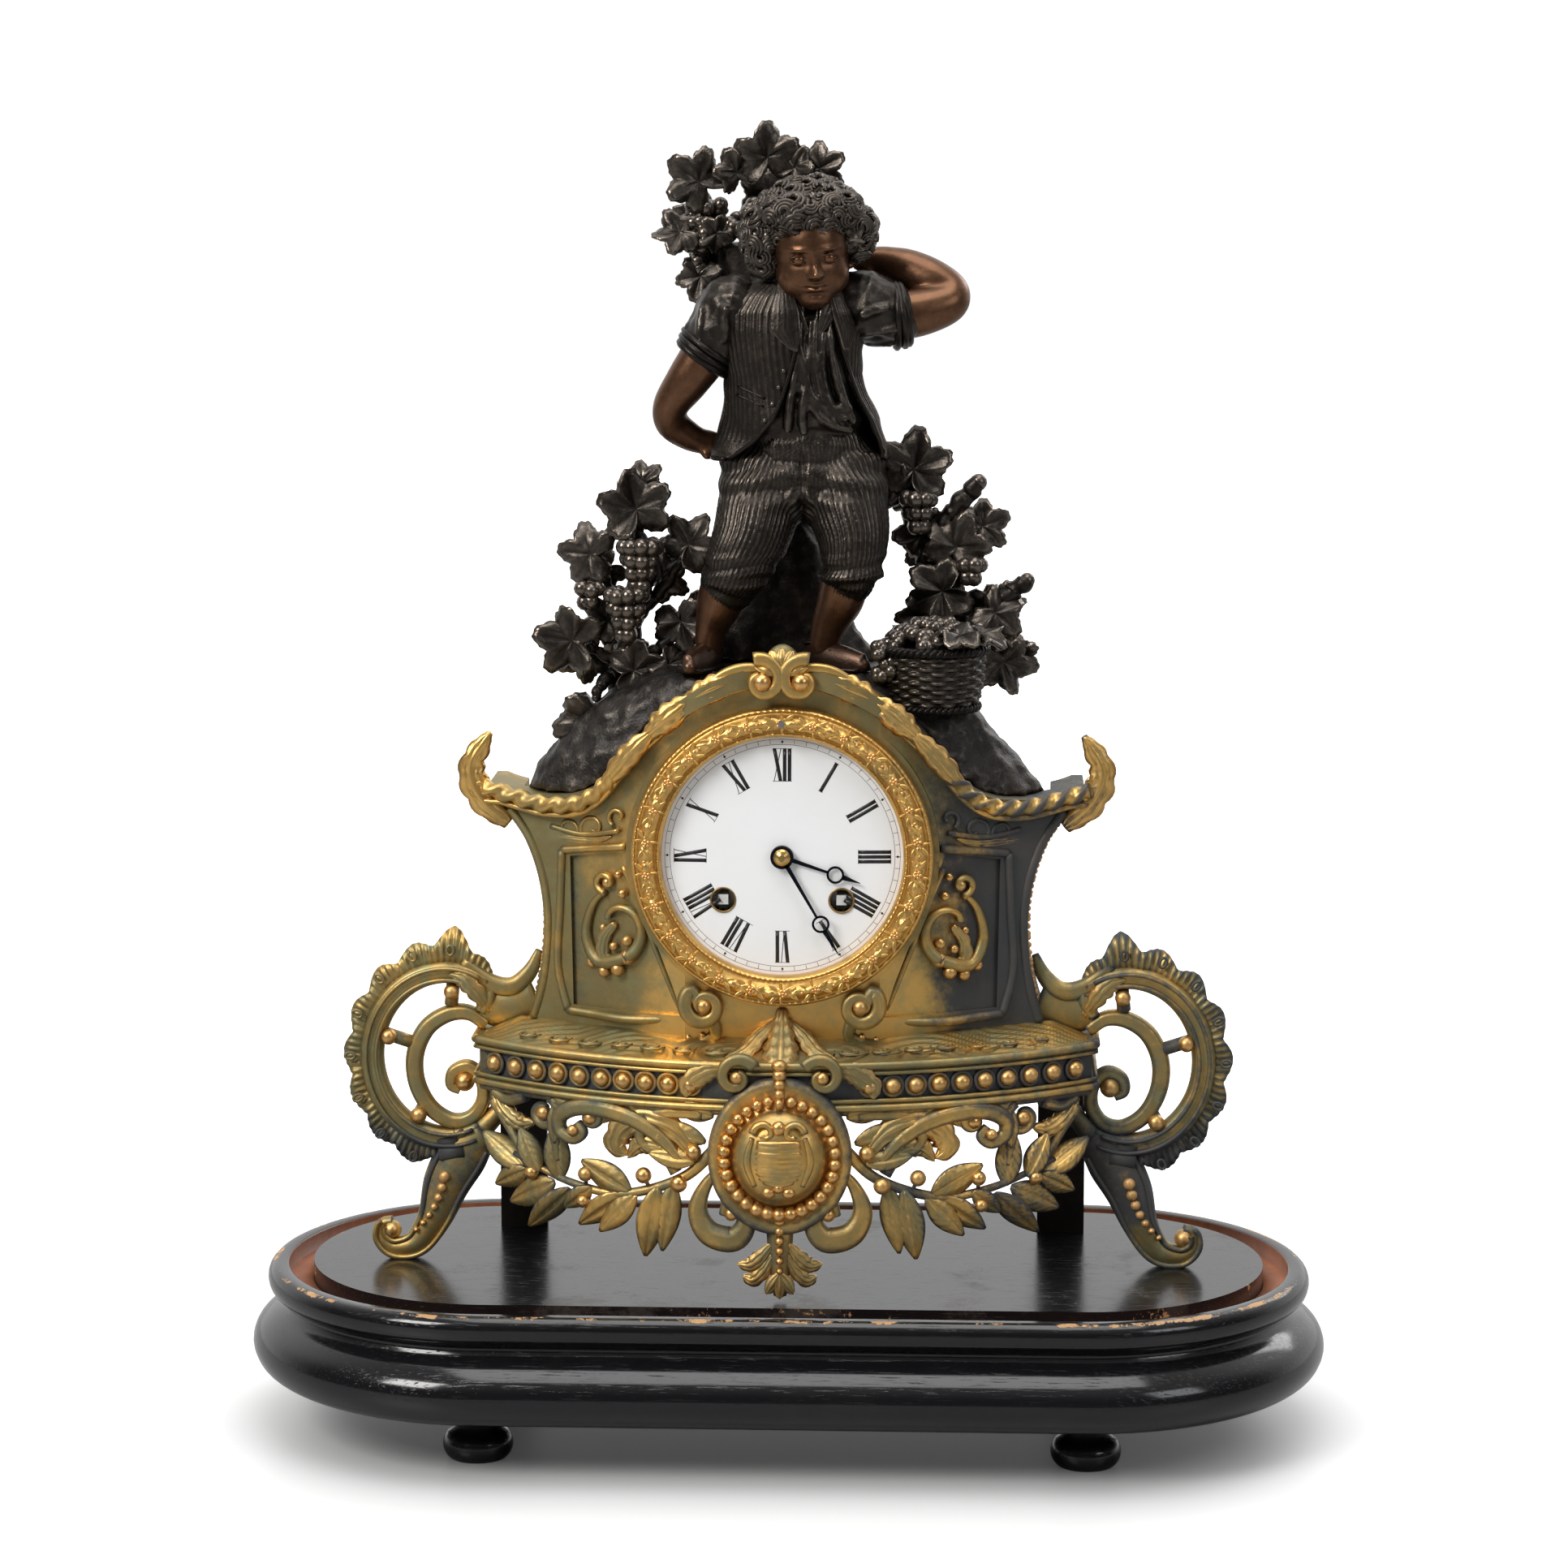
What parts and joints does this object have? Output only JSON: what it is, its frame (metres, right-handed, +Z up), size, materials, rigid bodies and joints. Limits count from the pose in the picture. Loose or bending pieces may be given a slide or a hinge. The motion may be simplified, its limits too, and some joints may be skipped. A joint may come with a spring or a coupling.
{
  "type": "figural mantel clock",
  "caption": "Figural mantel clock: gilt scroll case with enamel dial and pendulum movement, a bronze grape picker on top, on an oval ebonised dome plinth.",
  "frame": {"origin": "on the table under the middle of the plinth", "axes": "+Z up, the dial faces -Y, +X to the right of someone facing the dial"},
  "size_m": [0.4056, 0.1876, 0.4862],
  "materials": {
    "ebonised_wood": "glossy black lacquer, worn at the rim",
    "board_wood": "scratched black lacquer",
    "gilt_spelter": "worn gilding with green and dark dulling",
    "dark_iron": "dull dark iron",
    "gilt_brass": "polished gilt brass",
    "enamel": "white fired enamel with black numerals",
    "blued_steel": "blued steel",
    "brass": "turned and polished brass",
    "steel": "polished steel",
    "bell_metal": "bell metal",
    "bronze_patina": "dark brown bronze patina on spelter"
  },
  "bodies": {
    "plinth": {"plinth_body": "ebonised_wood", "plinth_top_board": "board_wood", "plinth_feet": "ebonised_wood"},
    "clock": {"case_body": "gilt_spelter", "cornice": "gilt_spelter", "corner_finials": "gilt_spelter", "platform": "gilt_spelter", "side_scroll_left": "gilt_spelter", "side_scroll_right": "gilt_spelter", "apron": "gilt_spelter", "cartouche": "gilt_spelter", "case_ornaments": "gilt_spelter", "rear_legs": "dark_iron", "bell_stand": "dark_iron", "movement_straps": "dark_iron", "bezel": "gilt_brass", "rear_ring": "gilt_brass", "dial": "enamel", "movement_ring": "brass", "front_plate": "brass", "back_plate": "brass", "going_barrel": "brass", "strike_barrel": "brass", "intermediate_wheel": "brass", "centre_wheel": "brass", "third_wheel": "brass", "escape_wheel": "brass", "pin_wheel": "brass", "fly": "brass", "suspension_cock": "brass", "count_wheel": "brass", "clicks": "steel", "bell": "bell_metal", "rocky_mound": "bronze_patina", "tree_stump": "bronze_patina", "boy_legs": "bronze_patina", "boy_torso": "bronze_patina", "boy_head": "bronze_patina", "boy_arms": "bronze_patina", "hod": "bronze_patina", "hod_fruit": "bronze_patina", "vines": "bronze_patina", "fruit_basket": "bronze_patina"},
    "minute_hand_body": {"minute_hand": "blued_steel", "hand_collet": "gilt_brass", "cannon_pinion": "steel"},
    "hour_hand_body": {"hour_hand": "blued_steel", "hour_wheel": "brass"},
    "minute_wheel_body": {"minute_wheel": "brass"},
    "pendulum": {"suspension_spring": "steel", "pendulum_rod": "steel", "pendulum_bob": "brass", "rating_nut": "brass"},
    "anchor_body": {"anchor": "steel"},
    "going_winder": {"going_winding_arbor": "steel"},
    "strike_winder": {"strike_winding_arbor": "steel"},
    "hammer_body": {"hammer": "steel"},
    "regulator": {"regulator_arbor": "steel"},
    "back_cover": {"rear_cover": "gilt_brass"}
  },
  "joints": [
    {"name": "clock_lift", "type": "slide", "parent": "plinth", "child": "clock", "axis": [0, 0, 1], "range_m": [0, 0.12]},
    {"name": "minute_hand_turn", "type": "hinge", "parent": "clock", "child": "minute_hand_body", "pos_m": [0, -0.044, 0.2235], "axis": [0, 1, 0], "continuous": true},
    {"name": "hour_hand_turn", "type": "hinge", "parent": "clock", "child": "hour_hand_body", "pos_m": [0, -0.042, 0.2235], "axis": [0, 1, 0], "continuous": true},
    {"name": "minute_wheel_turn", "type": "hinge", "parent": "clock", "child": "minute_wheel_body", "pos_m": [0, -0.031, 0.23358], "axis": [0, 1, 0], "continuous": true},
    {"name": "pendulum_swing", "type": "hinge", "parent": "clock", "child": "pendulum", "pos_m": [0, 0.002, 0.2665], "axis": [0, 1, 0], "range_deg": [-3, 3]},
    {"name": "anchor_rock", "type": "hinge", "parent": "clock", "child": "anchor_body", "pos_m": [0, -0.015, 0.2517], "axis": [0, 1, 0], "range_deg": [-5.3, 5.3]},
    {"name": "going_winding", "type": "hinge", "parent": "clock", "child": "going_winder", "pos_m": [0.0215, -0.03, 0.2073], "axis": [0, 1, 0], "continuous": true},
    {"name": "strike_winding", "type": "hinge", "parent": "clock", "child": "strike_winder", "pos_m": [-0.0215, -0.03, 0.2073], "axis": [0, 1, 0], "continuous": true},
    {"name": "hammer_swing", "type": "hinge", "parent": "clock", "child": "hammer_body", "pos_m": [-0.028, -0.015, 0.2435], "axis": [0, 1, 0], "range_deg": [0, 8]},
    {"name": "regulator_turn", "type": "hinge", "parent": "clock", "child": "regulator", "pos_m": [0, -0.03, 0.273], "axis": [0, 1, 0], "range_deg": [-360, 360]},
    {"name": "back_cover_hinge", "type": "hinge", "parent": "clock", "child": "back_cover", "pos_m": [-0.0525, 0.036, 0.2235], "axis": [0, 0, 1], "range_deg": [0, 105]}
  ],
  "couplings": [
    {"joint": "hour_hand_turn", "follows": "minute_hand_turn", "ratio": 0.083333},
    {"joint": "minute_wheel_turn", "follows": "minute_hand_turn", "ratio": -0.33333},
    {"joint": "anchor_rock", "follows": "pendulum_swing", "ratio": 1.7327}
  ]
}
